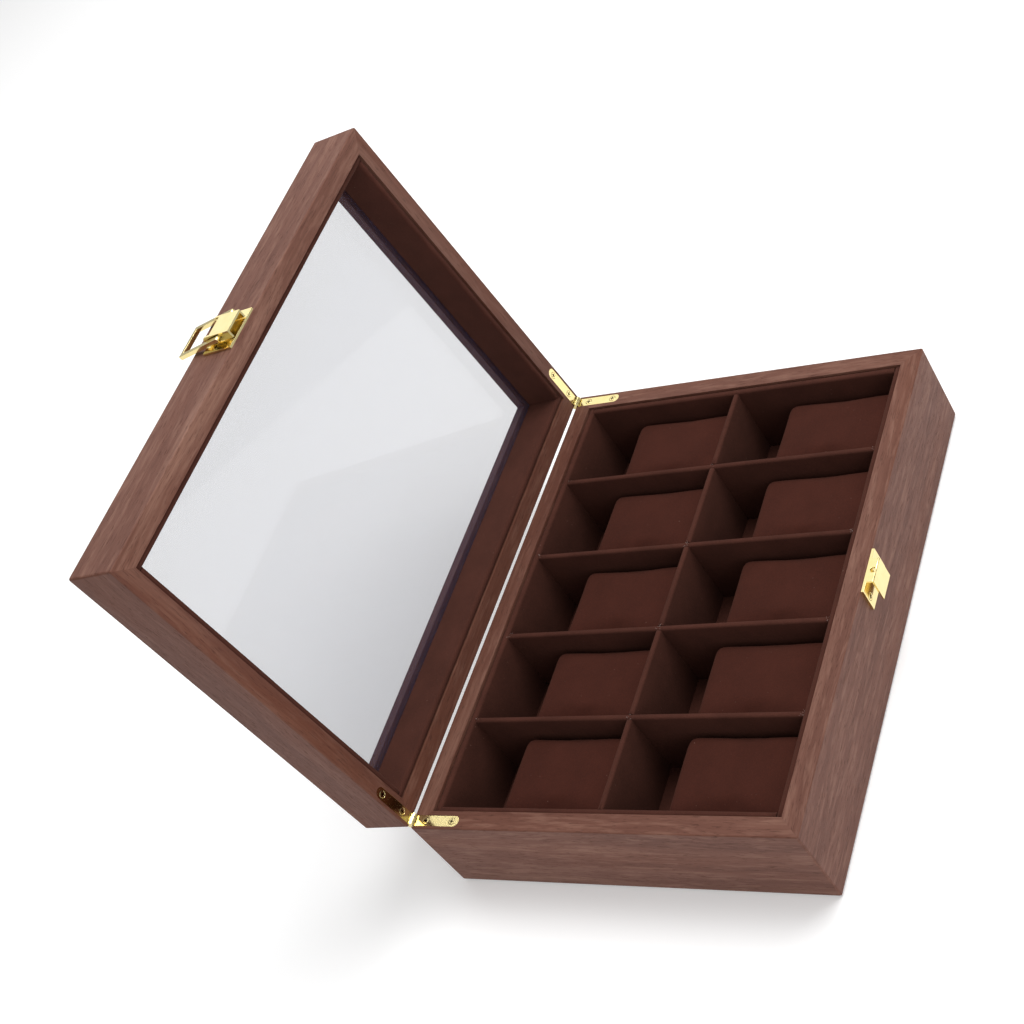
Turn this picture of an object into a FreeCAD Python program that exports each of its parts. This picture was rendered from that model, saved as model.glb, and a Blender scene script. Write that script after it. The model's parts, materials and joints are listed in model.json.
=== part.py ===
import FreeCAD, Part
import os
import re
import Sketcher

# A ten-slot watch box: a mitred walnut case on a felt foot, suede-wrapped liners and dividers,
# ten watch pillows, and a glazed lid on two stop hinges, held shut by a toggle latch.
#
# Frame: millimetres, +Z up, X along the hinge line, the latch at -Y and the hinges at +Y.
# The origin is the middle of the felt underside. The lid stands open on its hinge stops.
# Every piece of the lid is drawn in the lid's own frame: its origin is the middle of the hinge
# axis and the lid is drawn shut, so its rim is the plane z = 0.

SIZES = {
    # the wooden case and its lid
    "case_width": 285,
    "case_depth": 210,
    "base_height": 51.5,        # from the felt underside to the rim
    "lid_height": 29,
    "wall": 10,
    "corner_round": 1.2,        # on the four upright corners
    "edge_round": 0.8,          # along the outer edges
    "mitre_reach": 25,          # how far in the mitre cuts run
    "felt_thickness": 1,
    "felt_inset": 1,
    "panel_thickness": 4,
    "panel_rebate": 4,
    # the glazed top of the lid
    "frame_face": 15,           # width of the wooden border round the glass
    "frame_thickness": 5,
    "glass_thickness": 2.5,
    "glass_play": 0.4,
    # the suede-wrapped lining
    "liner": 3.5,
    "liner_drop": 1,            # how far the liners stop below the rim
    "liner_round": 1.5,
    "floor_liner": 1.5,
    "divider": 3,
    "divider_drop": 1.6,
    "divider_round": 1.3,
    "slot_play": 0.2,           # in the slots where the dividers cross
    # the watch pillows
    "pillow_length": 65,
    "pillow_drop": 10.5,        # from the rim to the top of a pillow
    "pillow_play": 0.4,
    "pillow_corner": 4.5,
    "pillow_edge": 4,
    # the stop hinges
    "lid_open_angle": 95,
    "hinge_setback": 0.5,       # from the back face to the hinge axis
    "hinge_inset": 4.5,         # from the side face to the middle of the leaf
    "leaf_width": 6,
    "leaf_reach": 28.5,         # from the hinge axis to the leaf's round end
    "leaf_thickness": 2,
    "leaf_sink": 0.2,           # how far a leaf lies below the rim
    "knuckle_radius": 2.2,
    "knuckle_gap": 0.4,
    "tongue_width": 2.2,
    "tongue_play": 0.2,
    "hinge_pin_radius": 0.75,
    "pin_play": 0.05,
    "near_screw": 8.2,          # from the hinge axis to the first screw
    "far_screw": 24.2,
    # every countersunk screw
    "screw_head_radius": 2,
    "screw_head_depth": 1.1,
    "screw_shank_radius": 1,
    "screw_length": 8,
    "recess_span": 2.4,
    "recess_slot": 0.5,
    "recess_depth": 0.6,
    # the toggle latch: its plate, lever and bail on the lid, its strike on the base
    "latch_width": 25.5,
    "latch_plate": 1.2,
    "latch_plate_low": 0.5,
    "latch_plate_high": 19.6,
    "latch_screw_place": 9.9,
    "latch_screw_height": 12,
    "lever_width": 14,
    "lever_wall": 1,
    "lever_low": 1.2,
    "lever_roof_high": 14.8,
    "lever_out": 6,
    "lever_pivot_height": 17.2,
    "lever_pivot_out": 3.8,
    "lever_pin_radius": 0.8,
    "ear_radius": 1.6,
    "ear_thickness": 1,
    "ear_play": 0.2,
    "bail_pivot_height": 8.6,
    "bail_pivot_out": 4.4,
    "bail_play": 0.8,           # between the lever's cheek and the bail
    "bail_bar": 2.2,
    "bail_reach": 28.8,         # from the bail's pivot to the middle of its outer bar
    "bail_stub_radius": 0.8,
    "bail_droop": 7.5,          # the bail lies this far past level, on the lid's edge
    "strike_top": 0.3,          # below the rim
    "strike_height": 13.8,
    "strike_plate": 1.4,
    "strike_wall": 1,
    "strike_out": 5.2,
    "strike_round": 0.9,
    "strike_hole_radius": 1.5,
    "strike_screw_drop": 7.5,
}
PILLOWS_ACROSS = 5
CLOSE = 0.01         # mm: two heights nearer than this are the same height
PARALLEL = 0.99      # the cosine above which an edge runs along a direction

doc = FreeCAD.newDocument("watch_box")
sheet = doc.addObject("Spreadsheet::Sheet", "Sizes")
for row, (alias, number) in enumerate(SIZES.items(), start=1):
    sheet.set(f"A{row}", alias)
    sheet.set(f"B{row}", str(number))
    sheet.setAlias(f"B{row}", alias)
doc.recompute()

nodes = []

UP = FreeCAD.Vector(0, 0, 1)
ACROSS = FreeCAD.Vector(1, 0, 0)
INWARD = FreeCAD.Vector(0, 1, 0)

# The places that several pieces share, as formulas of the sizes.
AXIS_Y = "case_depth / 2 + hinge_setback"
SIDE = "case_width / 2"
END = "case_depth / 2"
PANEL_TOP = "(felt_thickness + panel_thickness)"
SLOT_FLOOR = "(felt_thickness + panel_thickness + floor_liner)"
INNER_SIDE = "(case_width / 2 - wall)"
INNER_END = "(case_depth / 2 - wall)"
LINED_SIDE = "(case_width / 2 - wall - liner)"
LINED_END = "(case_depth / 2 - wall - liner)"
DIVIDER_TOP = "(base_height - divider_drop)"
PITCH = f"((2 * {LINED_SIDE} + divider) / {PILLOWS_ACROSS})"
LID_FRONT = "(-case_depth - hinge_setback)"
LID_MIDDLE = "(-case_depth / 2 - hinge_setback)"
GLASS_TOP = "(lid_height - frame_thickness)"
GLASS_UNDERSIDE = "(lid_height - frame_thickness - glass_thickness)"
KNUCKLE_ROOM = "(knuckle_radius + knuckle_gap)"
LEVER_END = "(lever_out - lever_pivot_out)"
STRIKE_HIGH = "(base_height - strike_top)"
STRIKE_LOW = "(base_height - strike_top - strike_height)"


def both_ways(half):
    return (f"-({half})", half)


# ---------------------------------------------------------------- helpers

def formula(text):
    """Point every size named in a formula at its cell in the sheet."""
    def cell(word):
        return "Sizes." + word[0] if word[0] in SIZES else word[0]

    return re.sub(r"[a-z]\w*", cell, str(text))


def bind(thing, **formulas):
    """Tie properties to formulas; a double underscore stands for a dot."""
    for name, text in formulas.items():
        thing.setExpression(name.replace("__", "."), formula(text))
    return thing


def place(thing, x=0, y=0, z=0):
    return bind(thing, Placement__Base__x=x, Placement__Base__y=y, Placement__Base__z=z)


def turned(thing, axis, degrees):
    thing.Placement = FreeCAD.Placement(FreeCAD.Vector(0, 0, 0), FreeCAD.Rotation(axis, degrees))
    return thing


def block(name, x, y, z):
    """A box between two corners; each axis is given as a pair, low then high."""
    box = doc.addObject("Part::Box", name)
    bind(box, Length=f"({x[1]}) - ({x[0]})")
    bind(box, Width=f"({y[1]}) - ({y[0]})")
    bind(box, Height=f"({z[1]}) - ({z[0]})")
    return place(box, x[0], y[0], z[0])


def rod(name, axis, radius, length, x=0, y=0, z=0):
    """A round bar that starts at the point given and runs along the axis."""
    bar = doc.addObject("Part::Cylinder", name)
    if axis != UP:
        bar.Placement = FreeCAD.Placement(FreeCAD.Vector(0, 0, 0), FreeCAD.Rotation(UP, axis))
    bind(bar, Radius=radius, Height=length)
    return place(bar, x, y, z)


def joined(name, pieces):
    union = doc.addObject("Part::MultiFuse", name)
    union.Shapes = pieces
    return union


def cut(name, piece, tools):
    """One piece less all the tools."""
    tool = tools[0] if len(tools) == 1 else joined(name + "_tools", tools)
    result = doc.addObject("Part::Cut", name)
    result.Base = piece
    result.Tool = tool
    return result


def overlap(name, first, second):
    common = doc.addObject("Part::Common", name)
    common.Base = first
    common.Tool = second
    return common


def group(name, pieces):
    compound = doc.addObject("Part::Compound", name)
    compound.Links = pieces
    return compound


def node(name, piece):
    """Name one sub-part of the box and list it for export."""
    piece.Label = name
    nodes.append(piece)
    return piece


def lid_node(name, piece):
    """Hang a piece drawn in the lid's frame on the hinge axis, with the lid open."""
    hung = turned(group(name, [piece]), FreeCAD.Vector(-1, 0, 0), SIZES["lid_open_angle"])
    bind(hung, Placement__Rotation__Angle="lid_open_angle")
    place(hung, 0, AXIS_Y, "base_height")
    return node(name, hung)


def origin_plane(body, role):
    return next(plane for plane in body.Origin.OriginFeatures if plane.Role == role)


def outline(body, role, name, corners):
    """A closed polygon whose every corner is held at a pair of formulas."""
    sketch = body.newObject("Sketcher::SketchObject", name)
    sketch.AttachmentSupport = [(origin_plane(body, role), "")]
    sketch.MapMode = "FlatFace"
    count = len(corners)
    for index in range(count):
        start = FreeCAD.Vector(index, index * index, 0)
        following = (index + 1) % count
        end = FreeCAD.Vector(following, following * following, 0)
        sketch.addGeometry(Part.LineSegment(start, end), False)
    for index in range(count):
        sketch.addConstraint(Sketcher.Constraint("Coincident", index, 2, (index + 1) % count, 1))
    for index, corner in enumerate(corners):
        for direction, text in zip(("DistanceX", "DistanceY"), corner):
            held = sketch.addConstraint(Sketcher.Constraint(direction, -1, 1, index, 1, 1.0))
            sketch.setExpression(f"Constraints[{held}]", formula(text))
    return sketch


def padded_out(body, sketch, length, name, side="One side"):
    pad = body.newObject("PartDesign::Pad", name)
    pad.Profile = sketch
    pad.SideType = side
    bind(pad, Length=length)
    return pad


def pocketed(body, sketch, length, name, into=True):
    """Cut a sketch into the body; into=True cuts along the sketch's own normal."""
    doc.recompute()
    before = body.Shape.Volume
    pocket = body.newObject("PartDesign::Pocket", name)
    pocket.Profile = sketch
    pocket.Reversed = into
    bind(pocket, Length=length)
    doc.recompute()
    if body.Shape.Volume >= before:
        raise RuntimeError(name + " cuts nothing")
    return pocket


def rounded(body, name, radius, chosen):
    """Round the edges of the body that a test picks."""
    doc.recompute()
    feature = body.Tip
    edges = [f"Edge{i}" for i, edge in enumerate(feature.Shape.Edges, start=1) if chosen(edge)]
    if not edges:
        raise RuntimeError(name + " finds no edge")
    fillet = body.newObject("PartDesign::Fillet", name)
    fillet.Base = (feature, edges)
    bind(fillet, Radius=radius)
    doc.recompute()
    return fillet


def upright(edge):
    return abs(edge.tangentAt(edge.FirstParameter).z) > PARALLEL


def at_height(height):
    return lambda edge: edge.BoundBox.ZMin > height - CLOSE and edge.BoundBox.ZMax < height + CLOSE


def top_or_bottom(height):
    return lambda edge: at_height(0)(edge) or at_height(height)(edge)


def rectangle(x, y):
    return [(x[0], y[0]), (x[1], y[0]), (x[1], y[1]), (x[0], y[1])]


# ---------------------------------------------------------------- screws

def screw_envelope(name):
    """The outside of a countersunk screw: its head's top at z = 0, its shank down -Z."""
    head = doc.addObject("Part::Cone", name + "_head")
    bind(head, Radius1="screw_shank_radius", Radius2="screw_head_radius", Height="screw_head_depth")
    place(head, 0, 0, "-screw_head_depth")
    shank_length = "screw_length - screw_head_depth"
    shank = rod(name + "_shank", UP, "screw_shank_radius", shank_length, z="-screw_length")
    return joined(name + "_envelope", [head, shank])


def screw(name):
    """A countersunk screw with a cross recess."""
    span = both_ways("recess_span / 2")
    slot = both_ways("recess_slot / 2")
    depth = ("-recess_depth", "screw_head_depth")
    first = block(name + "_recess_across", span, slot, depth)
    second = block(name + "_recess_along", slot, span, depth)
    return cut(name, screw_envelope(name), [first, second])


# ---------------------------------------------------------------- wooden frames

def wooden_frame(name, middle_y, height):
    """A solid block with its corners and outer edges rounded, to be hollowed."""
    body = doc.addObject("PartDesign::Body", name)
    outer = rectangle(both_ways(SIDE), (f"{middle_y} - {END}", f"{middle_y} + {END}"))
    pad = padded_out(body, outline(body, "XY_Plane", name + "_outline", outer), height, name + "_block")
    rounded(body, name + "_corners", "corner_round", upright)
    rounded(body, name + "_edges", "edge_round", top_or_bottom(pad.Length.Value))
    return body


def hollowed(body, name, half_x, middle_y, half_y, depth):
    opening = rectangle(both_ways(half_x), (f"{middle_y} - {half_y}", f"{middle_y} + {half_y}"))
    return pocketed(body, outline(body, "XY_Plane", name + "_outline", opening), depth, name)


def mitred_boards(name, frame, middle_y, low, height):
    """Part a frame at its four mitres into front, right, back and left boards."""
    boards = {}
    overrun = 1
    sides = (
        ("front", 0, "case_width", "0", f"{middle_y} - {END}"),
        ("right", 90, "case_depth", SIDE, middle_y),
        ("back", 180, "case_width", "0", f"{middle_y} + {END}"),
        ("left", 270, "case_depth", f"-{SIDE}", middle_y),
    )
    for side, turn, length, x, y in sides:
        wedge = doc.addObject("Part::Wedge", f"{name}_{side}_mitres")
        turned(wedge, UP, turn)
        bind(wedge, Xmin=f"-{length} / 2", Xmax=f"{length} / 2")
        bind(wedge, X2min=f"-{length} / 2 + mitre_reach", X2max=f"{length} / 2 - mitre_reach")
        bind(wedge, Ymin="0", Ymax="mitre_reach", Zmin="0", Z2min="0")
        bind(wedge, Zmax=f"{height} + {2 * overrun}", Z2max=f"{height} + {2 * overrun}")
        place(wedge, x, y, f"{low} - {overrun}")
        boards[side] = overlap(f"{name}_{side}", frame, wedge)
    return boards


# ---------------------------------------------------------------- stop hinges
# A hinge leaf is drawn about the hinge axis, lying toward -Y and just below the rim plane.

def leaf_outline(name, high):
    """The leaf's plate with its round end, from its underside up to a height."""
    low = "-leaf_sink - leaf_thickness"
    straight_end = "-leaf_reach + leaf_width / 2"
    straight = (straight_end, f"-{KNUCKLE_ROOM}")
    plate = block(name + "_plate", both_ways("leaf_width / 2"), straight, (low, high))
    end = rod(name + "_end", UP, "leaf_width / 2", f"({high}) - ({low})", y=straight_end, z=low)
    return joined(name + "_outline", [plate, end])


def knuckle(name, x):
    """One barrel round the hinge axis and the neck that joins it to the plate."""
    barrel = rod(name + "_barrel", ACROSS, "knuckle_radius", f"({x[1]}) - ({x[0]})", x=x[0])
    thickness = ("-leaf_sink - leaf_thickness", "-leaf_sink")
    neck = block(name + "_neck", x, (f"-{KNUCKLE_ROOM}", "0"), thickness)
    return joined(name, [barrel, neck])


def leaf(name, knuckles, pin_hole):
    drills = [rod(name + "_pin_hole", ACROSS, pin_hole, "leaf_width", x="-leaf_width / 2")]
    for place_name in ("near_screw", "far_screw"):
        sunk = screw_envelope(f"{name}_{place_name}")
        drills.append(place(sunk, 0, f"-{place_name}", "-leaf_sink"))
    solid = joined(name + "_solid", [leaf_outline(name, "-leaf_sink")] + knuckles)
    return cut(name, solid, drills)


def fork_knuckles(name):
    inner = "tongue_width / 2 + tongue_play"
    left = knuckle(name + "_left_knuckle", ("-leaf_width / 2", f"-({inner})"))
    right = knuckle(name + "_right_knuckle", (inner, "leaf_width / 2"))
    return [left, right]


def hinge_recess(name):
    """What is cut from the wood for a leaf, its knuckles and its two screws."""
    bed = leaf_outline(name, "leaf_thickness")
    half = "leaf_width / 2 + knuckle_gap"
    beyond = (f"-{KNUCKLE_ROOM}", "wall")
    room = block(name + "_room", both_ways(half), beyond, beyond)
    pilots = []
    for place_name in ("near_screw", "far_screw"):
        sunk = screw_envelope(f"{name}_{place_name}")
        pilots.append(place(sunk, 0, f"-{place_name}", "-leaf_sink"))
    return joined(name, [bed, room] + pilots)


def hinge_places():
    """The two hinges: a name and the x of the leaf's middle line."""
    return (("left", f"-({SIDE} - hinge_inset)"), ("right", f"{SIDE} - hinge_inset"))


def in_base(piece, x):
    return place(piece, x, AXIS_Y, "base_height")


def in_lid(piece, x):
    """Turn a leaf over so that it lies just above the lid's rim."""
    return place(turned(piece, INWARD, 180), x)


def on_front(piece, x, y, z):
    """Turn a screw so that its head faces the front."""
    return place(turned(piece, ACROSS, 90), x, y, z)


def latch_sides():
    return (("left", "-latch_screw_place"), ("right", "latch_screw_place"))


# ---------------------------------------------------------------- the base

def base_walls():
    height = "base_height - felt_thickness"
    frame = wooden_frame("base_frame", "0", height)
    hollowed(frame, "base_inside", INNER_SIDE, "0", INNER_END, "base_height")
    rebated_side = f"({INNER_SIDE} + panel_rebate)"
    rebated_end = f"({INNER_END} + panel_rebate)"
    hollowed(frame, "base_rebate", rebated_side, "0", rebated_end, "panel_thickness")
    place(frame, z="felt_thickness")
    cuts = [in_base(hinge_recess(f"base_{side}_recess"), x) for side, x in hinge_places()]
    for side, x in latch_sides():
        cuts.append(strike_screw_place(screw_envelope(f"strike_pilot_{side}"), x))
    case = cut("base_case", frame, cuts)
    boards = mitred_boards("base", case, "0", "felt_thickness", f"({height})")
    for side, board in boards.items():
        node(f"base_{side}_wall", board)


def base_underside():
    felt_x = both_ways(f"{SIDE} - felt_inset")
    felt_y = both_ways(f"{END} - felt_inset")
    node("foot_felt", block("foot_felt", felt_x, felt_y, ("0", "felt_thickness")))
    panel_x = both_ways(f"{INNER_SIDE} + panel_rebate")
    panel_y = both_ways(f"{INNER_END} + panel_rebate")
    node("bottom_panel", block("bottom_panel", panel_x, panel_y, ("felt_thickness", PANEL_TOP)))
    floor = block("floor_liner", both_ways(INNER_SIDE), both_ways(INNER_END), (PANEL_TOP, SLOT_FLOOR))
    node("floor_liner", floor)


def wrapped_board(name, x, y, z, along, round_top, radius):
    """A board wrapped in suede, its long edges rounded at the top or at the bottom."""
    body = doc.addObject("PartDesign::Body", name)
    pad = padded_out(body, outline(body, "XY_Plane", name + "_outline", rectangle(x, y)),
                     f"({z[1]}) - ({z[0]})", name + "_board")
    doc.recompute()
    height = pad.Length.Value if round_top else 0

    def long_edge(edge):
        return at_height(height)(edge) and abs(edge.tangentAt(edge.FirstParameter).dot(along)) > PARALLEL

    rounded(body, name + "_rounding", radius, long_edge)
    return place(body, z=z[0])


def base_liners():
    z = (SLOT_FLOOR, "base_height - liner_drop")
    long_x = both_ways(INNER_SIDE)
    for side, y in (("front", (f"-{INNER_END}", f"-{LINED_END}")), ("back", (LINED_END, INNER_END))):
        name = f"base_{side}_liner"
        node(name, wrapped_board(name, long_x, y, z, ACROSS, True, "liner_round"))
    short_y = both_ways(LINED_END)
    for side, x in side_liners():
        name = f"base_{side}_liner"
        node(name, wrapped_board(name, x, short_y, z, INWARD, True, "liner_round"))


def side_liners():
    left = (f"-{INNER_SIDE}", f"-{LINED_SIDE}")
    right = (LINED_SIDE, INNER_SIDE)
    return (("left", left), ("right", right))


def dividers():
    """One long divider and four cross dividers, halved into each other."""
    z = (SLOT_FLOOR, DIVIDER_TOP)
    middle = f"(({SLOT_FLOOR} + {DIVIDER_TOP}) / 2)"
    half_slot = "(divider + slot_play) / 2"
    half_board = "divider / 2"
    long_board = wrapped_board("long_divider_board", both_ways(LINED_SIDE), both_ways(half_board), z,
                               ACROSS, True, "divider_round")
    slots = []
    for number in range(1, PILLOWS_ACROSS):
        x = f"(-{LINED_SIDE} - divider / 2 + {number} * {PITCH})"
        board = wrapped_board(f"cross_board_{number}", (f"{x} - {half_board}", f"{x} + {half_board}"),
                              both_ways(LINED_END), z, INWARD, True, "divider_round")
        under = block(f"cross_slot_{number}", (f"{x} - divider", f"{x} + divider"), both_ways(half_slot),
                      ("0", middle))
        node(f"cross_divider_{number}", cut(f"cross_divider_{number}", board, [under]))
        slots.append(block(f"long_slot_{number}", (f"{x} - {half_slot}", f"{x} + {half_slot}"),
                           both_ways("divider"), (middle, "base_height")))
    node("long_divider", cut("long_divider", long_board, slots))


def watch_pillows():
    """Two rows of pillows, each pushed to the front of its slot."""
    half_width = f"(({PITCH} - divider) / 2 - pillow_play)"
    height = f"(base_height - pillow_drop) - ({SLOT_FLOOR} + pillow_play)"
    number = 0
    for front in (f"(-{LINED_END} + pillow_play)", "(divider / 2 + pillow_play)"):
        for column in range(PILLOWS_ACROSS):
            number += 1
            name = f"watch_pillow_{number}"
            x = f"(-{LINED_SIDE} - divider / 2 + {column + 0.5} * {PITCH})"
            width = (f"{x} - {half_width}", f"{x} + {half_width}")
            sides = rectangle(width, (front, f"{front} + pillow_length"))
            body = doc.addObject("PartDesign::Body", name)
            sketch = outline(body, "XY_Plane", name + "_outline", sides)
            pad = padded_out(body, sketch, height, name + "_block")
            rounded(body, name + "_corners", "pillow_corner", upright)
            rounded(body, name + "_edges", "pillow_edge", top_or_bottom(pad.Length.Value))
            node(name, place(body, z=f"{SLOT_FLOOR} + pillow_play"))


# ---------------------------------------------------------------- the lid

def lid_walls():
    frame = wooden_frame("lid_frame", LID_MIDDLE, "lid_height")
    hollowed(frame, "lid_inside", INNER_SIDE, LID_MIDDLE, INNER_END, GLASS_TOP)
    window_side = f"({SIDE} - frame_face)"
    window_end = f"({END} - frame_face)"
    hollowed(frame, "lid_window", window_side, LID_MIDDLE, window_end, "lid_height + frame_thickness")
    cuts = [in_lid(hinge_recess(f"lid_{side}_recess"), x) for side, x in hinge_places()]
    for side, x in latch_sides():
        cuts.append(latch_screw_place(screw_envelope(f"latch_pilot_{side}"), x))
    case = cut("lid_case", frame, cuts)
    for side, board in mitred_boards("lid", case, LID_MIDDLE, "0", "lid_height").items():
        lid_node(f"lid_{side}_wall", board)


def lid_glass():
    x = both_ways(f"{INNER_SIDE} - glass_play")
    y = (f"{LID_MIDDLE} - {INNER_END} + glass_play", f"{LID_MIDDLE} + {INNER_END} - glass_play")
    lid_node("glass_pane", block("glass_sheet", x, y, (GLASS_UNDERSIDE, GLASS_TOP)))


def lid_liners():
    """The liners hold the glass against the wooden border."""
    z = ("liner_drop", GLASS_UNDERSIDE)
    long_x = both_ways(INNER_SIDE)
    front = (f"{LID_MIDDLE} - {INNER_END}", f"{LID_MIDDLE} - {LINED_END}")
    back = (f"{LID_MIDDLE} + {LINED_END}", f"{LID_MIDDLE} + {INNER_END}")
    for side, y in (("front", front), ("back", back)):
        board = wrapped_board(f"lid_{side}_board", long_x, y, z, ACROSS, False, "liner_round")
        lid_node(f"lid_{side}_liner", board)
    between = (front[1], back[0])
    for side, x in side_liners():
        board = wrapped_board(f"lid_{side}_board", x, between, z, INWARD, False, "liner_round")
        lid_node(f"lid_{side}_liner", board)


def hinges():
    base_screws = []
    lid_screws = []
    for side, x in hinge_places():
        fork = f"hinge_{side}_base_leaf"
        node(fork, in_base(leaf(fork, fork_knuckles(fork), "hinge_pin_radius"), x))
        tongue = f"hinge_{side}_lid_leaf"
        tongue_knuckle = knuckle(tongue + "_knuckle", both_ways("tongue_width / 2"))
        shut = leaf(tongue + "_shut", [tongue_knuckle], "hinge_pin_radius + pin_play")
        lid_node(tongue, in_lid(shut, x))
        start = f"{x} - leaf_width / 2"
        pin = rod(f"hinge_{side}_pin", ACROSS, "hinge_pin_radius", "leaf_width", start, AXIS_Y, "base_height")
        node(f"hinge_{side}_pin", pin)
        for place_name in ("near_screw", "far_screw"):
            base_screw = screw(f"base_{side}_{place_name}")
            base_screws.append(place(base_screw, x, f"{AXIS_Y} - {place_name}", "base_height - leaf_sink"))
            lid_screw = turned(screw(f"lid_{side}_{place_name}"), INWARD, 180)
            lid_screws.append(place(lid_screw, x, f"-{place_name}", "leaf_sink"))
    node("base_hinge_screws", group("base_hinge_screws", base_screws))
    lid_node("lid_hinge_screws", group("lid_hinge_screw_set", lid_screws))


# ---------------------------------------------------------------- the toggle latch

def outward(distance):
    """A y in the lid's frame, given how far it stands out from the lid's front face."""
    return f"({LID_FRONT} - ({distance}))"


def latch_screw_place(piece, x):
    return on_front(piece, x, outward("latch_plate"), "latch_screw_height")


def latch_plate():
    """The plate screwed to the lid, with two ears that carry the lever."""
    plate = block("latch_back", both_ways("latch_width / 2"), (outward("latch_plate"), LID_FRONT),
                  ("latch_plate_low", "latch_plate_high"))
    pieces = [plate]
    outer = "(lever_width / 2 - lever_wall - ear_play)"
    inner = f"({outer} - ear_thickness)"
    height = ("lever_pivot_height - ear_radius", "lever_pivot_height + ear_radius")
    for side, x in (("left", (f"-{outer}", f"-{inner}")), ("right", (inner, outer))):
        pieces.append(block(f"latch_{side}_ear", x, (outward("lever_pivot_out"), LID_FRONT), height))
        pieces.append(rod(f"latch_{side}_ear_end", ACROSS, "ear_radius", "ear_thickness", x=x[0],
                          y=outward("lever_pivot_out"), z="lever_pivot_height"))
    drills = [lever_axis_rod("latch_plate_pin_hole", "lever_pin_radius")]
    for side, x in latch_sides():
        drills.append(latch_screw_place(screw_envelope(f"latch_plate_{side}"), x))
    lid_node("latch_plate", cut("latch_plate_shut", joined("latch_plate_solid", pieces), drills))


def lever_axis_rod(name, radius):
    return rod(name, ACROSS, radius, "lever_width", x="-lever_width / 2", y=outward("lever_pivot_out"),
               z="lever_pivot_height")


def latch_lever():
    """A channel with a flat roof, open toward the lid, that turns on its two cheeks."""
    under = f"(lever_pivot_out - {LEVER_END})"
    inside = both_ways("lever_width / 2 - lever_wall")
    channel = block("lever_channel", both_ways("lever_width / 2"), (outward("lever_out"), outward(under)),
                    ("lever_low", "lever_pivot_height"))
    end = lever_axis_rod("lever_end", LEVER_END)
    under_roof = (outward("lever_out - lever_wall"), LID_FRONT)
    hollow = block("lever_hollow", inside, under_roof, ("0", "lever_roof_high"))
    past_roof = (outward("lever_out + lever_wall"), LID_FRONT)
    fork = block("lever_fork", inside, past_roof, ("lever_roof_high", "lever_pivot_height + lever_out"))
    pivot = lever_axis_rod("lever_pivot_hole", "lever_pin_radius + pin_play")
    bail_hole = rod("lever_bail_hole", ACROSS, "bail_stub_radius + pin_play", "lever_width",
                    "-lever_width / 2", outward("bail_pivot_out"), "bail_pivot_height")
    lever = cut("lever_shut", joined("lever_solid", [channel, end]), [hollow, fork, pivot, bail_hole])
    lid_node("latch_lever", lever)


def latch_bail():
    """A square-bar loop on two stubs; drawn about its pivot, its outer bar toward +Z."""
    thick = both_ways("bail_bar / 2")
    far = "bail_reach + bail_bar / 2"
    inner = "lever_width / 2 + bail_play"
    outer = f"{inner} + bail_bar"
    stub_start = "lever_width / 2 - lever_wall"
    stub = f"{outer} - ({stub_start})"
    pieces = [block("bail_outer_bar", both_ways(outer), thick, ("bail_reach - bail_bar / 2", far))]
    left = ("left", (f"-({outer})", f"-({inner})"), f"-({outer})")
    right = ("right", (inner, outer), stub_start)
    for side, x, start in (left, right):
        pieces.append(block(f"bail_{side}_bar", x, thick, ("0", far)))
        pieces.append(rod(f"bail_{side}_eye", ACROSS, "bail_bar / 2", "bail_bar", x=x[0]))
        pieces.append(rod(f"bail_{side}_stub", ACROSS, "bail_stub_radius", stub, x=start))
    loop = turned(joined("bail_loop", pieces), FreeCAD.Vector(-1, 0, 0), SIZES["bail_droop"])
    bind(loop, Placement__Rotation__Angle="bail_droop")
    place(loop, 0, outward("bail_pivot_out"), "bail_pivot_height")
    lid_node("latch_bail", loop)


def latch_fixings():
    lid_node("latch_pin", lever_axis_rod("latch_pin_shut", "lever_pin_radius"))
    screws = [latch_screw_place(screw(f"latch_screw_{side}"), x) for side, x in latch_sides()]
    lid_node("latch_screws", group("latch_screw_pair", screws))


def strike_screw_place(piece, x):
    return on_front(piece, x, f"-{END} - strike_plate", f"{STRIKE_HIGH} - strike_screw_drop")


def strike():
    """The plate on the base whose hook, open at the bottom, takes the bail's outer bar."""
    face = f"-{END}"
    front = f"({face} - strike_out)"
    plate_front = f"({face} - strike_plate)"
    plate = block("strike_back", both_ways("latch_width / 2"), (plate_front, face), (STRIKE_LOW, STRIKE_HIGH))
    hook = doc.addObject("PartDesign::Body", "strike_hook")
    profile = [
        (plate_front, STRIKE_HIGH),
        (front, STRIKE_HIGH),
        (front, STRIKE_LOW),
        (f"{front} + strike_wall", STRIKE_LOW),
        (f"{front} + strike_wall", f"{STRIKE_HIGH} - strike_wall"),
        (plate_front, f"{STRIKE_HIGH} - strike_wall"),
    ]
    sketch = outline(hook, "YZ_Plane", "strike_profile", profile)
    padded_out(hook, sketch, "lever_width", "strike_pad", "Symmetric")
    doc.recompute()
    box = hook.Shape.BoundBox

    def bend(edge):
        middle = edge.BoundBox.Center
        return abs(middle.y - box.YMin) < CLOSE and abs(middle.z - box.ZMax) < CLOSE

    rounded(hook, "strike_bend", "strike_round", bend)
    shelf_middle = f"{face} - (strike_plate + strike_out) / 2"
    below_shelf = f"{STRIKE_HIGH} - 1.5 * strike_wall"
    drills = [rod("strike_hole", UP, "strike_hole_radius", "2 * strike_wall", "0", shelf_middle, below_shelf)]
    for side, x in latch_sides():
        drills.append(strike_screw_place(screw_envelope(f"strike_{side}"), x))
    node("strike_plate", cut("strike_plate", joined("strike_solid", [plate, hook]), drills))
    screws = [strike_screw_place(screw(f"strike_screw_{side}"), x) for side, x in latch_sides()]
    node("strike_screws", group("strike_screws", screws))


# ---------------------------------------------------------------- build, check and export

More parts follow.
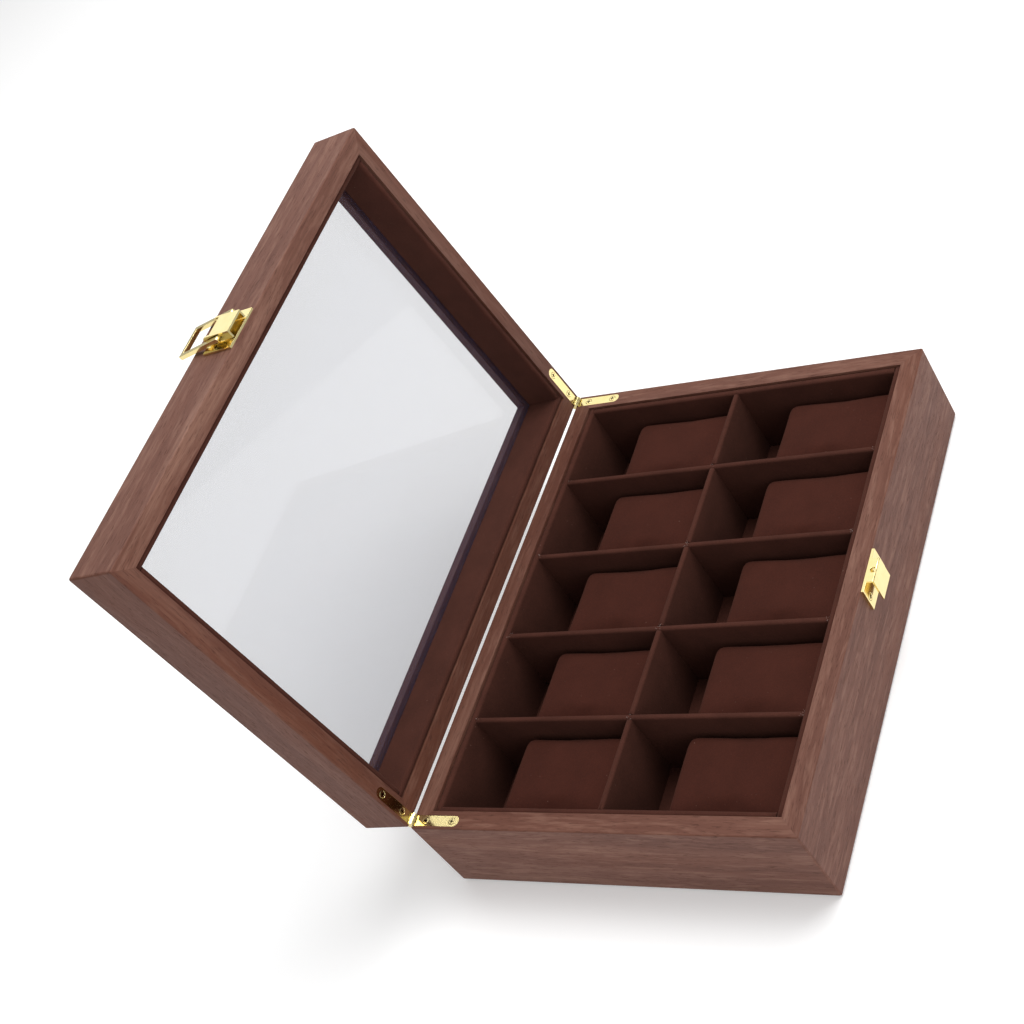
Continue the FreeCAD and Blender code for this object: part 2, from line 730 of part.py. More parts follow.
def build():
    base_walls()
    base_underside()
    base_liners()
    dividers()
    watch_pillows()
    lid_walls()
    lid_glass()
    lid_liners()
    hinges()
    latch_plate()
    latch_lever()
    latch_bail()
    latch_fixings()
    strike()
    doc.recompute()


def checked():
    for thing in doc.Objects:
        if "Invalid" in thing.State or "Error" in thing.State:
            raise RuntimeError(f"{thing.Name} did not recompute: {thing.State}")
    for piece in nodes:
        if piece.Shape.isNull() or not piece.Shape.isValid() or not piece.Shape.Solids:
            raise RuntimeError(piece.Label + " is not a valid solid")


build()
checked()
os.makedirs("parts", exist_ok=True)
for piece in nodes:
    piece.Shape.exportStep(f"parts/{piece.Label}.step")
print(len(nodes), "nodes")
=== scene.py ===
import json
import math

import bmesh
import bpy
from mathutils import Matrix, Vector, noise


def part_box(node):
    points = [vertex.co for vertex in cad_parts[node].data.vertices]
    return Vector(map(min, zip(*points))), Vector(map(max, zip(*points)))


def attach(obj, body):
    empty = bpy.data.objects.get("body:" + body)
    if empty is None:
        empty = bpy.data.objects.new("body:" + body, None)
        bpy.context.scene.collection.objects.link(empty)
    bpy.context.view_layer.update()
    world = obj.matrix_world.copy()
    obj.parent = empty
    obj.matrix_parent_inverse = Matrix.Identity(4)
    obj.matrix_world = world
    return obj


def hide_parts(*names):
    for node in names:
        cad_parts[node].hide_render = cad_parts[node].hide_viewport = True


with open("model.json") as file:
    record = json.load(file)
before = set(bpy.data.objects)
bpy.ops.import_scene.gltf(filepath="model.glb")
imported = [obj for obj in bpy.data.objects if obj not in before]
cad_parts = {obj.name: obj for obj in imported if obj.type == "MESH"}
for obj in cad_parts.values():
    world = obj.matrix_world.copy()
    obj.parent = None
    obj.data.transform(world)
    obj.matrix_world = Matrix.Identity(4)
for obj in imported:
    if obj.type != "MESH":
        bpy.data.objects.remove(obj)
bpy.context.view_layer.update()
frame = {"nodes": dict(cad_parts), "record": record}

bl_info = {
    "name": "Watch box",
    "version": (1, 0, 0),
    "blender": (4, 5, 0),
    "location": "3D View > Sidebar > Watch box",
    "description": "Finishes a walnut watch box: veneer, suede, pillows, glass and brass fittings",
    "category": "Object",
}

# Lengths are in metres. The box stands at the origin on its felt; +Z is up, X runs along the
# hinge line, the strike is at -Y and the hinges are at +Y. The lid is drawn open.

MM = 0.001
WALLS = ("front", "back", "left", "right")
PILLOWS = 10
CROSSINGS = 4
LID_OPENING = math.radians(95)
QUARTER_TURN = math.radians(90)

# Where on the veneer the first board is cut, and how far on each next board is cut.
BASE_VENEER_START = (0, 0, 0.05)
BASE_VENEER_STEP = (0.31, 0.17, 0)
LID_VENEER_START = (0.9, 0.4, 0.2)
LID_VENEER_STEP = (0.23, 0.11, 0)

# How strong the orange-brown streaks are, and how far a board goes to the dark grain's colour.
BASE_WARMTH = 0.35
LID_WARMTH = {"front": 0.3, "back": 0.3, "left": 0.85, "right": 0.85}
BASE_DARKENING = {"front": 0.0, "back": 0.3, "left": 0.0, "right": 0.0}
LID_DARKENING = {"front": 0.0, "back": 0.2, "left": 0.45, "right": 0.45}

# Scales of the veneer's patterns, as features per metre along, across and through the board.
DRIFT_SCALE = (7, 26, 26)
FIGURE_SCALE = (4, 70, 70)
STREAK_SCALE = (3, 26, 26)
FIBRE_SCALE = (26, 900, 900)
PORE_SCALE = (170, 2600, 2600)
FLECK_SCALE = (60, 420, 420)
GRAIN_BEND = 0.012              # the width of the band that the grain drifts in

# Scales of the suede's patterns, as features per metre.
PATCH_SCALE = 55.0
NAP_SCALE = 900.0
FUZZ_SCALE = 3200.0
LINT_SCALE = 900.0
LINT_SHIFT = (0.3, 0.1, 0.2)    # keeps the lint off the nap's own pattern

# Wrapped boards: the spacing of their cuts, and the noise that they wander with.
LINER_SPACING = 6 * MM
DIVIDER_SPACING = 5 * MM
FLOOR_SEED = 20
WANDER_SCALE = 28
WANDER_STEPS = (3.7, 1.3, 2.1)

# Watch pillows: the cloth simulation, and what tells one pillow from the next.
COVER_SHRINK = 3.0 * MM
COVER_CELL = 3.0 * MM
COVER_PRESSURE = 4
COVER_FRAMES = 20
PILLOW_WANDER_SCALE = 35
PILLOW_STEP = 5.1
PILLOW_WANDER = 0.35 * MM
PILLOW_MARGIN = 0.05 * MM

# Meshes: points nearer than this are one, and faces flatter than this are one.
MERGE_DISTANCE = 1e-6
FLAT_WITHIN = math.radians(0.4)

# Screws and stray threads.
HEAD_SIDES = 40
DOME_RINGS = 24
SHANK_SIDES = 24
THREAD_LEAN = 1.1
THREAD_TURN = 6.28
SHORTEST_THREAD = 0.4
LONGEST_THREAD = 1.2

# The stage. Each lamp has a name, a place, the side of its square face and its power in watts.
WHITE = (1, 1, 1, 1)
LAMPS = (
    ("key", (0.5, -0.3, 1.5), 1.0, 20.0),
    ("fill", (-0.9, -1.1, 0.6), 0.9, 5.0),
    ("rear", (0.85, 0.95, 1.1), 1.2, 3.5),
)
LAMP_AIM = (0, 0, 0.05)
FLOOR_REACH = 4.0
FLOOR_GLOW = 0.2
CARD_WIDTH = 1.2
CARD_DEPTH = 0.5
CARD_CORNER = (0.09, -0.54, 0.001)
CARD_TURN = math.radians(52.2 - 90)
CARD_GREY = (0.4, 0.41, 0.43, 1)
SENSOR_WIDTH = 36
CAMERA_SHIFT_X = -0.035
CAMERA_SHIFT_Y = 0.0401
NEAR_CLIP = 0.01


def srgb(red, green, blue):
    """A colour picked on a screen, as the linear colour that a shader wants."""
    def linear(value):
        value = value / 255
        return value / 12.92 if value <= 0.04045 else ((value + 0.055) / 1.055) ** 2.4

    return (linear(red), linear(green), linear(blue))


# ---------------------------------------------------------------- sizes and colours

def length(name, description, default):
    return bpy.props.FloatProperty(name=name, description=description, default=default, subtype="DISTANCE",
                                   unit="LENGTH")


def colour(name, description, default):
    return bpy.props.FloatVectorProperty(name=name, description=description, default=default, size=3,
                                         subtype="COLOR", min=0, max=1)


class WoodSettings(bpy.types.PropertyGroup):
    """The veneer on the case and the lid."""

    pale: colour("Pale grain", "Sapwood streaks of the veneer", srgb(144, 106, 90))
    middle: colour("Main grain", "The veneer's main tone", srgb(108, 70, 57))
    dark: colour("Dark grain", "Dark growth lines of the veneer", srgb(83, 47, 36))
    pore: colour("Pores", "The open pores", srgb(44, 24, 19))
    warm: colour("Warm streak", "The orange-brown streaks", srgb(118, 68, 46))


class LiningSettings(bpy.types.PropertyGroup):
    """The suede on the liners, the dividers and the pillows."""

    lining: colour("Lining", "The suede of liners and dividers", srgb(70, 39, 31))
    pillow: colour("Pillows", "The suede of the pillows", srgb(64, 31, 23))
    felt: colour("Felt", "The foot under the case", srgb(38, 28, 27))
    softness: length("Softness", "How far the wrapped boards wander from straight", 0.12 * MM)
    swell_limit: length("Swell", "The most that a pillow's cover may move out", 2.4 * MM)


class FittingSettings(bpy.types.PropertyGroup):
    """The hinges, the latch and the screws."""

    brass: colour("Brass", "The polished brass", srgb(240, 222, 160))
    easing: length("Easing", "The rounding of the brass edges", 0.22 * MM)
    head_radius: length("Head radius", "The radius of a screw's head", 1.78 * MM)
    head_depth: length("Head depth", "The depth of the countersunk head", 1.1 * MM)
    dome: length("Dome", "How far the head stands proud in its middle", 0.12 * MM)
    recess_span: length("Recess span", "The length of each arm pair of the cross recess", 2.4 * MM)
    recess_slot: length("Recess slot", "The width of each arm of the cross recess", 0.6 * MM)
    shank_radius: length("Shank radius", "The radius of a screw's shank", 1.0 * MM)
    shank_length: length("Shank length", "The length of a screw under its head", 6.9 * MM)


class StageSettings(bpy.types.PropertyGroup):
    """The floor, the light and the camera."""

    floor: colour("Floor", "The pale floor", (0.9, 0.9, 0.9))
    sky: bpy.props.FloatProperty(name="Sky", description="The strength of the even light all round",
                                 default=0.5)
    eye: bpy.props.FloatVectorProperty(name="Eye", description="Where the camera stands",
                                       default=(-0.47108, -0.44042, 0.63471), subtype="XYZ")
    aim: bpy.props.FloatVectorProperty(name="Aim", description="The point that the camera looks at",
                                       default=(0.02786, 0.08627, 0.05), subtype="XYZ")
    roll: bpy.props.FloatProperty(name="Roll", description="The camera's tilt about its line of sight",
                                  default=math.radians(-38.363), subtype="ANGLE")
    lens: bpy.props.FloatProperty(name="Lens", description="The focal length on a 36 mm frame",
                                  default=61.015)


class WatchBoxSettings(bpy.types.PropertyGroup):
    """Everything that a user would change."""

    wood: bpy.props.PointerProperty(type=WoodSettings)
    lining: bpy.props.PointerProperty(type=LiningSettings)
    fittings: bpy.props.PointerProperty(type=FittingSettings)
    stage: bpy.props.PointerProperty(type=StageSettings)


def settings():
    return bpy.context.scene.watch_box


# ---------------------------------------------------------------- shader maths

class Value:
    """A shader socket that takes part in Python arithmetic."""

    def __init__(self, shader, socket):
        self.shader = shader
        self.socket = socket

    def math(self, operation, first, second):
        return self.shader.add("ShaderNodeMath", {"operation": operation}, {0: first, 1: second})

    def __add__(self, other):
        return self.math("ADD", self, other)

    def __radd__(self, other):
        return self.math("ADD", other, self)

    def __sub__(self, other):
        return self.math("SUBTRACT", self, other)

    def __mul__(self, other):
        return self.math("MULTIPLY", self, other)


class Shader:
    """One material with a Principled shader, and short ways to add what feeds it."""

    def __init__(self, name, constants):
        self.material = bpy.data.materials.new(name)
        self.material.use_nodes = True
        self.tree = self.material.node_tree
        self.surface = self.tree.nodes["Principled BSDF"]
        for socket, value in constants.items():
            self.surface.inputs[socket].default_value = value

    def add(self, kind, options, sockets, output=0):
        """Any node: its options are set first, then its sockets get values or links."""
        node = self.tree.nodes.new(kind)
        for option, value in options.items():
            if option == "stops":
                self.stops(node.color_ramp, value)
            else:
                setattr(node, option, value)
        for socket, value in sockets.items():
            if isinstance(value, Value):
                self.tree.links.new(value.socket, node.inputs[socket])
            else:
                node.inputs[socket].default_value = value
        return Value(self, node.outputs[output])

    def stops(self, ramp, stops):
        while len(ramp.elements) < len(stops):
            ramp.elements.new(1)
        for element, (position, shade) in zip(ramp.elements, stops):
            element.position = position
            element.color = (shade, shade, shade, 1)

    def feed(self, **values):
        """Link the shader's own sockets; an underscore stands for a space."""
        for name, value in values.items():
            self.tree.links.new(value.socket, self.surface.inputs[name.replace("_", " ")])

    def place(self, shift=(0, 0, 0), turn=(0, 0, 0), stretch=(1, 1, 1)):
        """Object coordinates, moved, turned and stretched."""
        here = self.add("ShaderNodeTexCoord", {}, {}, output="Object")
        turned = self.add("ShaderNodeMapping", {}, {"Vector": here, "Location": shift, "Rotation": turn})
        return self.add("ShaderNodeVectorMath", {"operation": "MULTIPLY"}, {0: turned, 1: stretch})

    def noise(self, where, scale, detail=2.0, roughness=0.5):
        sockets = {"Vector": where, "Scale": scale, "Detail": detail, "Roughness": roughness}
        return self.add("ShaderNodeTexNoise", {}, sockets)

    def ramp(self, value, *stops):
        return self.add("ShaderNodeValToRGB", {"stops": stops}, {"Fac": value})

    def blend(self, factor, low, high):
        """Mix two colours, each a link or three numbers."""
        def shade(value):
            return value if isinstance(value, Value) else (*value, 1)

        options = {"data_type": "RGBA", "blend_type": "MIX"}
        return self.add("ShaderNodeMix", options, {0: factor, 6: shade(low), 7: shade(high)}, output=2)

    def bump(self, height, depth, strength=1.0):
        return self.add("ShaderNodeBump", {}, {"Height": height, "Distance": depth, "Strength": strength})


# ---------------------------------------------------------------- finishes

def walnut(name, turn, shift, warmth, darkening):
    """Walnut veneer whose grain runs along X after the turn."""
    wood = settings().wood
    shader = Shader(name, {"Roughness": 0.5, "Specular IOR Level": 0.2})
    drift = shader.noise(shader.place(shift, turn, DRIFT_SCALE), 1.0, 3.0)
    bend = (drift - 0.5) * GRAIN_BEND
    along = shader.place(shift, turn)
    offset = shader.add("ShaderNodeCombineXYZ", {}, {"Y": bend, "Z": bend})
    grain = shader.add("ShaderNodeVectorMath", {"operation": "ADD"}, {0: along, 1: offset})

    def stretched(scale):
        return shader.add("ShaderNodeVectorMath", {"operation": "MULTIPLY"}, {0: grain, 1: scale})

    figure = shader.noise(stretched(FIGURE_SCALE), 1.0, 4.0, 0.6)
    broad = shader.noise(stretched(STREAK_SCALE), 1.0, 2.0)
    fibre = shader.noise(stretched(FIBRE_SCALE), 1.0, 4.0, 0.7)
    pores = shader.noise(stretched(PORE_SCALE), 1.0, 1.5)
    fleck = shader.noise(stretched(FLECK_SCALE), 1.0, 2.0)

    dark_lines = shader.ramp(figure, (0.33, 0), (0.5, 1))
    light_lines = shader.ramp(figure, (0.54, 0), (0.68, 1))
    body = shader.blend(0.4 + dark_lines * 0.6, wood.dark, wood.middle)
    body = shader.blend(light_lines * 0.7, body, wood.pale)
    warm = shader.ramp(broad, (0.5, 0), (0.66, 1))
    body = shader.blend(warm * warmth, body, wood.warm)
    dark_fibres = shader.ramp(fibre, (0.35, 0), (0.65, 1))
    body = shader.blend(dark_fibres * 0.42, body, wood.dark)
    pale_flecks = shader.ramp(fleck, (0.5, 0), (0.7, 1))
    body = shader.blend(pale_flecks * 0.35, body, wood.pale)
    body = shader.blend(darkening, body, wood.dark)
    pore_mask = shader.ramp(pores, (0.60, 0), (0.68, 1))
    body = shader.blend(pore_mask * 0.4, body, wood.pore)
    rough = 0.48 + fibre * 0.12 + pore_mask * 0.2
    height = fibre * 0.4 - pore_mask * 0.6
    shader.feed(Base_Color=body, Roughness=rough, Normal=shader.bump(height, 0.12 * MM, 0.6))
    return shader.material


def suede(name, main, nap_contrast, lint):
    """Brushed suede cloth: mottled nap, painted lighter on the raised nap and darker in the fuzz's hollows
    as painted highlight and painted shade, a fine fibrous bump and a few specks of lint.
    """
    sheen_tint = (*srgb(190, 140, 120), 1)
    lint_colour = srgb(120, 92, 82)
    constants = {"Roughness": 0.95, "Specular IOR Level": 0.12, "Sheen Weight": 0.1, "Sheen Roughness": 0.45,
                 "Sheen Tint": sheen_tint}
    shader = Shader(name, constants)
    patches = shader.noise(shader.place(), PATCH_SCALE, 3.0, 0.6)
    nap = shader.noise(shader.place(), NAP_SCALE, 3.0, 0.7)
    fuzz = shader.noise(shader.place(), FUZZ_SCALE, 2.0, 0.6)
    darker = tuple(channel * (1 - nap_contrast) for channel in main)
    lighter = tuple(channel * (1 + nap_contrast) for channel in main)
    # Painted highlight and painted shade: the raised nap is painted lighter and the fuzz's hollows darker,
    # following the bump.
    painted_nap_highlight = tuple(channel * 1.5 for channel in main)
    painted_fuzz_shade = tuple(channel * 0.5 for channel in main)
    body = shader.blend(shader.ramp(patches, (0.35, 0), (0.65, 1)), darker, lighter)
    # Painted highlight on the raised nap, then painted shade in the fuzz's hollows.
    body = shader.blend(shader.ramp(nap, (0.35, 0), (0.7, 1)) * 0.35, body, painted_nap_highlight)
    body = shader.blend(shader.ramp(fuzz, (0.42, 1), (0.6, 0)) * 0.3, body, painted_fuzz_shade)
    specks = shader.noise(shader.place(LINT_SHIFT), LINT_SCALE, 0.0)
    body = shader.blend(shader.ramp(specks, (0.86, 0), (0.9, 1)) * lint, body, lint_colour)
    height = nap * 0.6 + fuzz * 0.4
    shader.feed(Base_Color=body, Roughness=0.88 + nap * 0.1, Normal=shader.bump(height, 0.25 * MM, 0.8))
    return shader.material


def polished_brass(name, roughness, sunk_shade=False):
    """Polished brass with faint buffing marks, and painted shade where a face is marked as sunk."""
    shader = Shader(name, {"Metallic": 1.0, "Roughness": roughness})
    brass = tuple(settings().fittings.brass)
    # Painted shade: a dark brown for the cross recess and the head's sunk sides.
    painted_recess_shade = srgb(70, 48, 20)
    buffing = shader.noise(shader.place(stretch=(400, 2600, 900)), 1.0, 2.0)
    tarnish = shader.noise(shader.place(), 260.0, 2.0)
    deeper = tuple(channel * shade for channel, shade in zip(brass, (0.94, 0.86, 0.7)))
    body = shader.blend(shader.ramp(tarnish, (0.4, 0), (0.75, 1)) * 0.4, brass, deeper)
    # Faces marked as sunk get the painted shade, standing in for the recess's shadow.
    if sunk_shade:
        sunk = shader.add("ShaderNodeAttribute", {"attribute_name": "sunk"}, {}, output="Fac")
        body = shader.blend(sunk, body, painted_recess_shade)
    shader.feed(Base_Color=body, Roughness=roughness + buffing * 0.08,
                Normal=shader.bump(buffing, 0.01 * MM, 0.25))
    return shader.material


def felt():
    """Felt with a matted, fuzzy face."""
    main = tuple(settings().lining.felt)
    shader = Shader("felt", {"Roughness": 1.0, "Sheen Weight": 0.3})
    fuzz = shader.noise(shader.place(), 1400.0, 3.0)
    darker = tuple(channel * 0.6 for channel in main)
    lighter = tuple(channel * 1.7 for channel in main)
    body = shader.blend(fuzz, darker, lighter)
    shader.feed(Base_Color=body, Normal=shader.bump(fuzz, 0.3 * MM))
    return shader.material


def fibreboard():
    """Pressed board of dark and pale chips."""
    dark_chips = srgb(98, 74, 56)
    pale_chips = srgb(142, 112, 86)
    shader = Shader("fibreboard", {"Roughness": 0.8})
    chips = shader.noise(shader.place(), 700.0, 4.0, 0.7)
    body = shader.blend(chips, dark_chips, pale_chips)
    shader.feed(Base_Color=body, Normal=shader.bump(chips, 0.1 * MM))
    return shader.material


def clear_glass():
    """Thin clear glass, darkened a little on each face, with faint smears."""
    clean_tint = srgb(54, 62, 92)
    smeared_tint = srgb(66, 76, 108)
    shader = Shader("clear_glass", {"Roughness": 0.02, "IOR": 1.8, "Alpha": 0.25})
    smear = shader.noise(shader.place(stretch=(9, 14, 30)), 1.0, 3.0)
    body = shader.blend(smear, clean_tint, smeared_tint)
    shader.feed(Base_Color=body, Roughness=0.015 + smear * 0.02)
    return shader.material


def frayed_thread():
    """Pale cotton that shows where the suede is slit."""
    dark_thread = srgb(120, 92, 84)
    pale_thread = srgb(176, 150, 142)
    shader = Shader("frayed_thread", {"Roughness": 0.9, "Sheen Weight": 0.3})
    shade = shader.noise(shader.place(), 2400.0, 1.0)
    shader.feed(Base_Color=shader.blend(shade, dark_thread, pale_thread))
    return shader.material


# ---------------------------------------------------------------- meshes

def finished(node, material):
    """A CAD piece whose shape is already right gets its finish."""
    piece = frame["nodes"][node]
    piece.data.materials.clear()
    piece.data.materials.append(material)
    return piece


def body_of_node(node):
    """The name of the body that a CAD node belongs to."""
    for body, members in frame["record"]["behaviour"]["bodies"].items():
        if node in members:
            return body
    raise RuntimeError(node + " is in no body")


def new_piece(name, mesh, material, slot, *nodes):
    """Show a mesh in place of CAD nodes and let it ride on their body."""
    piece = bpy.data.objects.new(name, mesh)
    bpy.context.scene.collection.objects.link(piece)
    mesh.materials.clear()
    mesh.materials.append(material)
    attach(piece, body_of_node(nodes[0]))
    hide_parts(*nodes)
    return piece


def smooth_shaded(mesh, sharp_degrees):
    """Shade a mesh smooth, but for its edges sharper than an angle."""
    mesh.shade_smooth()
    mesh.set_sharp_from_angle(angle=math.radians(sharp_degrees))


def with_modifier(mesh, kind, options):
    """The mesh after one modifier, made plain."""
    holder = bpy.data.objects.new("holder", mesh)
    bpy.context.scene.collection.objects.link(holder)
    modifier = holder.modifiers.new(kind.title(), kind)
    for option, value in options.items():
        setattr(modifier, option, value)
    plain = bpy.data.meshes.new_from_object(holder.evaluated_get(bpy.context.evaluated_depsgraph_get()))
    bpy.data.objects.remove(holder)
    return plain


def merged_copy(node):
    """A copy of a CAD node's loose triangles, merged into flat faces."""
    mesh = bpy.data.meshes.new(node + "_merged")
    work = bmesh.new()
    work.from_mesh(frame["nodes"][node].data)
    bmesh.ops.remove_doubles(work, verts=work.verts, dist=MERGE_DISTANCE)
    bmesh.ops.dissolve_limit(work, angle_limit=FLAT_WITHIN, verts=work.verts, edges=work.edges)
    work.to_mesh(mesh)
    work.free()
    return mesh


def eased(node, material, slot, width, name):
    """A brass piece with its sharp edges broken, so that they catch the light."""
    options = {"width": width, "segments": 2, "limit_method": "ANGLE", "angle_limit": math.radians(35),
               "use_clamp_overlap": True, "harden_normals": False}
    mesh = with_modifier(merged_copy(node), "BEVEL", options)
    smooth_shaded(mesh, sharp_degrees=50)
    mesh = with_modifier(mesh, "WEIGHTED_NORMAL", {"keep_sharp": True, "weight": 100})
    return new_piece(name, mesh, material, slot, node)


def cut_along(work, axis, spacing, low, high):
    """Slice a mesh across one axis at an even spacing."""
    normal = Vector([1 if index == axis else 0 for index in range(3)])
    count = max(1, round((high - low) / spacing))
    for number in range(1, count):
        point = normal * (low + (high - low) * number / count)
        geometry = work.verts[:] + work.edges[:] + work.faces[:]
        bmesh.ops.bisect_plane(work, geom=geometry, plane_co=point, plane_no=normal)


# ---------------------------------------------------------------- tools for repeated pieces

class NodeTools:
    """A Geometry Nodes tree with named inputs, built one node at a time."""

    def __init__(self, name):
        self.tree = bpy.data.node_groups.new(name, "GeometryNodeTree")
        self.inputs = self.tree.nodes.new("NodeGroupInput")
        self.output = self.tree.nodes.new("NodeGroupOutput")
        self.tree.interface.new_socket("Geometry", in_out="INPUT", socket_type="NodeSocketGeometry")
        self.tree.interface.new_socket("Geometry", in_out="OUTPUT", socket_type="NodeSocketGeometry")
        self.identifiers = {}

    def input(self, name, kind="NodeSocketFloat"):
        socket = self.tree.interface.new_socket(name, in_out="INPUT", socket_type=kind)
        self.identifiers[name] = socket.identifier
        return self.inputs.outputs[name]

    def add(self, kind, options, sockets, output=0):
        node = self.tree.nodes.new(kind)
        for option, value in options.items():
            setattr(node, option, value)
        for socket, value in sockets.items():
            values = value if isinstance(value, list) else [value]
            for single in values:
                if isinstance(single, bpy.types.NodeSocket):
                    self.tree.links.new(single, node.inputs[socket])
                else:
                    node.inputs[socket].default_value = single
        return node.outputs[output]

    def vector(self, x, y, z):
        return self.add("ShaderNodeCombineXYZ", {}, {"X": x, "Y": y, "Z": z})

    def times(self, first, second):
        return self.add("ShaderNodeMath", {"operation": "MULTIPLY"}, {0: first, 1: second})

    def plus(self, first, second):
        return self.add("ShaderNodeMath", {"operation": "ADD"}, {0: first, 1: second})

    def finish(self, geometry, material):
        """End the tree with real geometry that carries its material."""
        real = self.add("GeometryNodeRealizeInstances", {}, {"Geometry": geometry})
        done = self.add("GeometryNodeSetMaterial", {}, {"Geometry": real, "Material": material})
        self.tree.links.new(done, self.output.inputs[0])

    def grown(self, points, values):
        """Run the tree on a few points and return the plain mesh it makes."""
        seeds = bpy.data.meshes.new("seeds")
        seeds.from_pydata([tuple(point) for point in points], [], [])
        holder = bpy.data.objects.new("seeds", seeds)
        bpy.context.scene.collection.objects.link(holder)
        modifier = holder.modifiers.new("Grow", "NODES")
        modifier.node_group = self.tree
        for name, value in values.items():
            modifier[self.identifiers[name]] = value
        plain = bpy.data.meshes.new_from_object(holder.evaluated_get(bpy.context.evaluated_depsgraph_get()))
        bpy.data.objects.remove(holder)
        return plain


def screw_tools(material):
    """A countersunk cross-head screw at every point, its axis along one direction."""
    tools = NodeTools("countersunk_screws")
    head_radius = tools.input("Head radius")
    head_depth = tools.input("Head depth")
    dome = tools.input("Dome")
    span = tools.input("Recess span")
    slot = tools.input("Recess slot")
    shank_radius = tools.input("Shank radius")
    shank_length = tools.input("Shank length")
    rotation = tools.input("Rotation", "NodeSocketVector")
    cone = tools.add("GeometryNodeMeshCone", {}, {
        "Vertices": HEAD_SIDES, "Radius Top": head_radius, "Radius Bottom": shank_radius,
        "Depth": head_depth})
    sink = tools.vector(0.0, 0.0, tools.times(head_depth, -1.0))
    head = tools.add("GeometryNodeTransform", {}, {"Geometry": cone, "Translation": sink})
    ball = tools.add("GeometryNodeMeshUVSphere", {}, {
        "Segments": HEAD_SIDES, "Rings": DOME_RINGS, "Radius": 1.0})
    flat = tools.vector(head_radius, head_radius, dome)
    cap = tools.add("GeometryNodeTransform", {}, {"Geometry": ball, "Scale": flat})
    shank = tools.add("GeometryNodeMeshCylinder", {}, {
        "Vertices": SHANK_SIDES, "Radius": shank_radius, "Depth": shank_length})
    half_length = tools.times(shank_length, -0.5)
    down = tools.vector(0.0, 0.0, tools.plus(half_length, tools.times(head_depth, -0.9)))
    shank = tools.add("GeometryNodeTransform", {}, {"Geometry": shank, "Translation": down})
    solid = tools.add("GeometryNodeMeshBoolean", {"operation": "UNION"}, {"Mesh 2": [head, cap, shank]})
    cutter_height = tools.times(head_depth, 1.5)
    arm_x = tools.add("GeometryNodeMeshCube", {}, {"Size": tools.vector(span, slot, cutter_height)})
    arm_y = tools.add("GeometryNodeMeshCube", {}, {"Size": tools.vector(slot, span, cutter_height)})
    cut = tools.add("GeometryNodeMeshBoolean", {"operation": "DIFFERENCE"},
                    {"Mesh 1": solid, "Mesh 2": [arm_x, arm_y]})
    # Faces below the head's top, in the cross recess and on the head's sunk sides, are marked as sunk to
    # carry the painted shade.
    here = tools.add("GeometryNodeInputPosition", {}, {})
    level = tools.add("ShaderNodeSeparateXYZ", {}, {"Vector": here}, output=2)
    sunk_level = tools.times(head_depth, -0.06)
    below = tools.add("ShaderNodeMath", {"operation": "LESS_THAN"}, {0: level, 1: sunk_level})
    marked = tools.add("GeometryNodeStoreNamedAttribute", {"data_type": "FLOAT", "domain": "FACE"}, {
        "Geometry": cut, "Name": "sunk", "Value": below})
    placed = tools.add("GeometryNodeInstanceOnPoints", {}, {
        "Points": tools.inputs.outputs["Geometry"], "Instance": marked, "Rotation": rotation})
    tools.finish(placed, material)
    return tools


def fray_tools(material):
    """Short stray threads that stand out of a slit in the cloth."""
    tools = NodeTools("frayed_threads")
    reach = tools.input("Thread length")
    thickness = tools.input("Thread radius")
    spread = tools.input("Spread")
    count = tools.input("Threads", "NodeSocketInt")
    seed = tools.input("Seed", "NodeSocketInt")
    thread = tools.add("GeometryNodeCurveQuadraticBezier", {}, {
        "Resolution": 5, "Start": (0, 0, 0), "Middle": tools.vector(0.0, 0.0, tools.times(reach, 0.6)),
        "End": tools.vector(tools.times(reach, 0.5), 0.0, reach)})
    profile = tools.add("GeometryNodeCurvePrimitiveCircle", {}, {"Resolution": 5, "Radius": thickness})
    hair = tools.add("GeometryNodeCurveToMesh", {}, {
        "Curve": thread, "Profile Curve": profile, "Fill Caps": True})
    copies = tools.add("GeometryNodeDuplicateElements", {"domain": "POINT"}, {
        "Geometry": tools.inputs.outputs["Geometry"], "Amount": count})
    low = tools.vector(tools.times(spread, -1.0), tools.times(spread, -1.0), tools.times(reach, -0.5))
    high = tools.vector(spread, spread, 0.0)
    jump = tools.add("FunctionNodeRandomValue", {"data_type": "FLOAT_VECTOR"}, {
        0: low, 1: high, "Seed": seed})
    moved = tools.add("GeometryNodeSetPosition", {}, {"Geometry": copies, "Offset": jump})
    lean = tools.add("FunctionNodeRandomValue", {"data_type": "FLOAT_VECTOR"}, {
        0: (-THREAD_LEAN, -THREAD_LEAN, 0.0), 1: (THREAD_LEAN, THREAD_LEAN, THREAD_TURN),
        "Seed": tools.plus(seed, 7.0)})
    size = tools.add("FunctionNodeRandomValue", {"data_type": "FLOAT"}, {
        2: SHORTEST_THREAD, 3: LONGEST_THREAD, "Seed": tools.plus(seed, 13.0)}, output=1)
    placed = tools.add("GeometryNodeInstanceOnPoints", {}, {
        "Points": moved, "Instance": hair, "Rotation": lean, "Scale": size})
    tools.finish(placed, material)
    return tools


# ---------------------------------------------------------------- wrapped boards

def wandered(mesh, amount, seed):
    """Let a straight board wander a little, as card under cloth does."""
    for vertex in mesh.vertices:
        where = vertex.co * WANDER_SCALE + Vector([seed * step for step in WANDER_STEPS])
        vertex.co += noise.noise_vector(where) * amount


